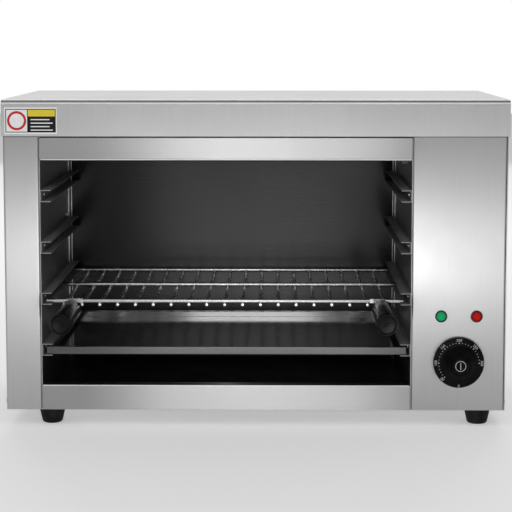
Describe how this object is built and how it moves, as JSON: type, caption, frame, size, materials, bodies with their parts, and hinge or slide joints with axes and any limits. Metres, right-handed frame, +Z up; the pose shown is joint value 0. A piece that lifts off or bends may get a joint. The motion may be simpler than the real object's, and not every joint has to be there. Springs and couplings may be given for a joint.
{
  "type": "countertop salamander grill",
  "caption": "Countertop electric salamander grill: brushed steel casing with an open front, wire rack with two handles on guide channels, drip tray, dial thermostat and lamps.",
  "frame": {"origin": "on the table, under the middle of the whole object, rack handles and cable gland included", "axes": "+X to the right along the longest side, +Y to the back, +Z up; the open front faces -Y"},
  "size_m": [0.61, 0.44, 0.4],
  "materials": {
    "casing_steel": "satin, brushed",
    "rear_steel": "dull mill finish",
    "liner_steel": "semi-bright, brushed sideways",
    "guide_steel": "semi-bright",
    "dark_enamel": "satin black",
    "shield_steel": "galvanised",
    "rack_chrome": "polished",
    "tray_steel": "semi-bright",
    "handle_black": "satin moulded",
    "knob_black": "satin moulded",
    "foot_rubber": "matte",
    "element_sheath": "heat-darkened",
    "fittings_steel": "plain",
    "fasteners": "bright",
    "insulation": "fibre blanket",
    "control_ceramic": "unglazed",
    "copper": "dull copper",
    "lamp_black": "gloss",
    "lens_green": "clear, faceted",
    "lens_red": "clear, faceted",
    "lead_sleeve": "silicone",
    "gland_black": "satin",
    "label": "printed film"
  },
  "bodies": {
    "casing": {"top_cover": "casing_steel", "left_side_panel": "casing_steel", "right_side_panel": "casing_steel", "control_panel": "casing_steel", "header_panel": "casing_steel", "bottom_rail": "casing_steel", "rear_panel": "rear_steel", "base_plate": "rear_steel", "left_liner": "liner_steel", "right_liner": "liner_steel", "back_liner": "liner_steel", "ceiling_reflector": "liner_steel", "left_guide_1": "guide_steel", "left_guide_2": "guide_steel", "left_guide_3": "guide_steel", "left_guide_4": "guide_steel", "right_guide_1": "guide_steel", "right_guide_2": "guide_steel", "right_guide_3": "guide_steel", "right_guide_4": "guide_steel", "floor_liner": "dark_enamel", "heat_shield": "shield_steel", "foot_1": "foot_rubber", "foot_2": "foot_rubber", "foot_3": "foot_rubber", "foot_4": "foot_rubber", "heating_element": "element_sheath", "element_glands": "fittings_steel", "element_hangers": "fittings_steel", "bulb_clip": "fittings_steel", "foot_screws": "fasteners", "guide_rivets": "fasteners", "casing_screws": "fasteners", "liner_screw": "fasteners", "top_insulation": "insulation", "rear_insulation": "insulation", "side_insulation": "insulation", "thermostat_body": "control_ceramic", "high_limit_switch": "control_ceramic", "terminal_block": "control_ceramic", "thermostat_bulb": "copper", "green_lamp_body": "lamp_black", "red_lamp_body": "lamp_black", "green_lens": "lens_green", "red_lens": "lens_red", "wiring": "lead_sleeve", "cable_gland": "gland_black", "gland_nut": "gland_black", "front_sticker": "label"},
    "rack": {"rack_bars": "rack_chrome", "rack_wires": "rack_chrome", "left_handle": "handle_black", "right_handle": "handle_black", "left_handle_bracket": "rack_chrome", "right_handle_bracket": "rack_chrome", "handle_bolts": "rack_chrome"},
    "tray": {"drip_tray": "tray_steel"},
    "knob": {"thermostat_knob": "knob_black", "thermostat_shaft": "fittings_steel"}
  },
  "joints": [
    {"name": "rack_slide", "type": "slide", "parent": "casing", "child": "rack", "axis": [0, -1, 0], "range_m": [0, 0.24]},
    {"name": "tray_slide", "type": "slide", "parent": "casing", "child": "tray", "axis": [0, -1, 0], "range_m": [0, 0.24]},
    {"name": "knob_turn", "type": "hinge", "parent": "casing", "child": "knob", "pos_m": [0.2465, -0.1285, 0.0824], "axis": [0, -1, 0], "range_deg": [0, 270]}
  ]
}
